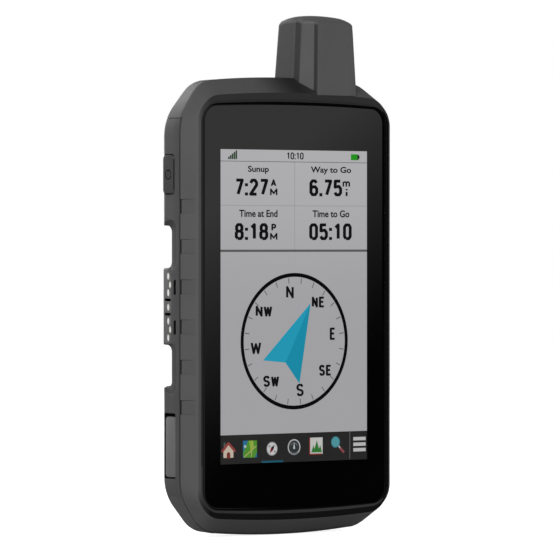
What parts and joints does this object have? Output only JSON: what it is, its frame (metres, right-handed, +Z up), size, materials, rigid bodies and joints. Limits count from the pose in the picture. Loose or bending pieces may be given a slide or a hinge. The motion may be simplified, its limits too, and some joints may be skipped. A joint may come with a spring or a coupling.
{
  "type": "handheld satellite navigator",
  "caption": "Rugged upright handheld navigator with a tall touch display, stub aerial, side key, capped sockets, side dock contacts and a latched battery door.",
  "frame": {"origin": "middle of the bottom end, halfway through the depth", "axes": "+Z up along the length to the aerial, display faces -Y, +X to the right as seen from the front"},
  "size_m": [0.0908, 0.033, 0.1823],
  "materials": {
    "housing": "fine texture",
    "rubber_cap": "matt",
    "key_plastic": "matt",
    "cover_glass": "polished",
    "ink": "printed black",
    "adhesive": "tape",
    "display": "display",
    "tray_metal": "stamped",
    "flex": "polyimide",
    "board": "solder mask",
    "screw_steel": "plated",
    "tin_plate": "tin plate",
    "chip": "moulded",
    "dark_plastic": "moulded",
    "ceramic": "fired",
    "copper": "plated",
    "gold": "gold plated",
    "rubber_seal": "silicone",
    "cable": "jacket",
    "speaker_body": "moulded",
    "mesh": "woven",
    "battery": "wrapped",
    "foam": "foam",
    "ring_steel": "satin"
  },
  "bodies": {
    "device": {"front_housing": "housing", "rear_housing": "housing", "antenna_cap": "housing", "cover_glass": "cover_glass", "ink_mask": "ink", "lens_adhesive": "adhesive", "display_panel": "display", "display_tray": "tray_metal", "display_flex": "flex", "main_board": "board", "key_board": "board", "usb_board": "board", "contact_board": "board", "board_screws": "screw_steel", "case_screws": "screw_steel", "processor_shield": "tin_plate", "radio_shield": "tin_plate", "memory_card_socket": "tin_plate", "usb_socket": "tin_plate", "processor_chip": "chip", "board_connector": "dark_plastic", "power_switch": "dark_plastic", "contact_block": "dark_plastic", "battery_contact_block": "dark_plastic", "antenna_core": "ceramic", "antenna_elements": "copper", "antenna_seal": "rubber_seal", "antenna_cable": "cable", "cable_plug": "gold", "antenna_socket": "gold", "contact_pins": "gold", "battery_contacts": "gold", "housing_seal": "rubber_seal", "key_seal": "rubber_seal", "door_seal": "rubber_seal", "speaker": "speaker_body", "speaker_gasket": "rubber_seal", "speaker_mesh": "mesh"},
    "power_key": {"power_key": "key_plastic"},
    "usb_cap": {"usb_cap": "rubber_cap"},
    "socket_cap": {"antenna_socket_cap": "rubber_cap"},
    "door": {"battery_door": "housing", "door_pad": "foam"},
    "latch": {"latch_spindle": "ring_steel", "latch_seal": "rubber_seal", "latch_clip": "screw_steel", "latch_cam": "tin_plate", "cam_screw": "screw_steel"},
    "ring": {"d_ring": "ring_steel"},
    "battery": {"battery_pack": "battery", "battery_terminals": "gold"}
  },
  "joints": [
    {"name": "power_key_press", "type": "slide", "parent": "device", "child": "power_key", "axis": [1, 0, 0], "range_m": [0, 0.0006], "stiffness_N_per_m": 2500},
    {"name": "usb_cap_hinge", "type": "hinge", "parent": "device", "child": "usb_cap", "pos_m": [-0.0445, -0.00265, 0.0222], "axis": [0, -1, 0], "range_deg": [0, 110]},
    {"name": "socket_cap_hinge", "type": "hinge", "parent": "device", "child": "socket_cap", "pos_m": [0.0445, -0.00265, 0.1187], "axis": [0, 1, 0], "range_deg": [0, 110]},
    {"name": "door_lift", "type": "slide", "parent": "device", "child": "door", "axis": [0, 1, 0], "range_m": [0, 0.06]},
    {"name": "latch_turn", "type": "hinge", "parent": "door", "child": "latch", "pos_m": [0, 0.013, 0.03], "axis": [0, 1, 0], "range_deg": [0, 90]},
    {"name": "ring_fold", "type": "hinge", "parent": "latch", "child": "ring", "pos_m": [0, 0.01495, 0.03], "axis": [1, 0, 0], "range_deg": [0, 180]},
    {"name": "battery_lift", "type": "slide", "parent": "device", "child": "battery", "axis": [0, 1, 0], "range_m": [0, 0.027]}
  ],
  "couplings": [
    {"joint": "battery_lift", "follows": "door_lift", "ratio": 0.45}
  ]
}
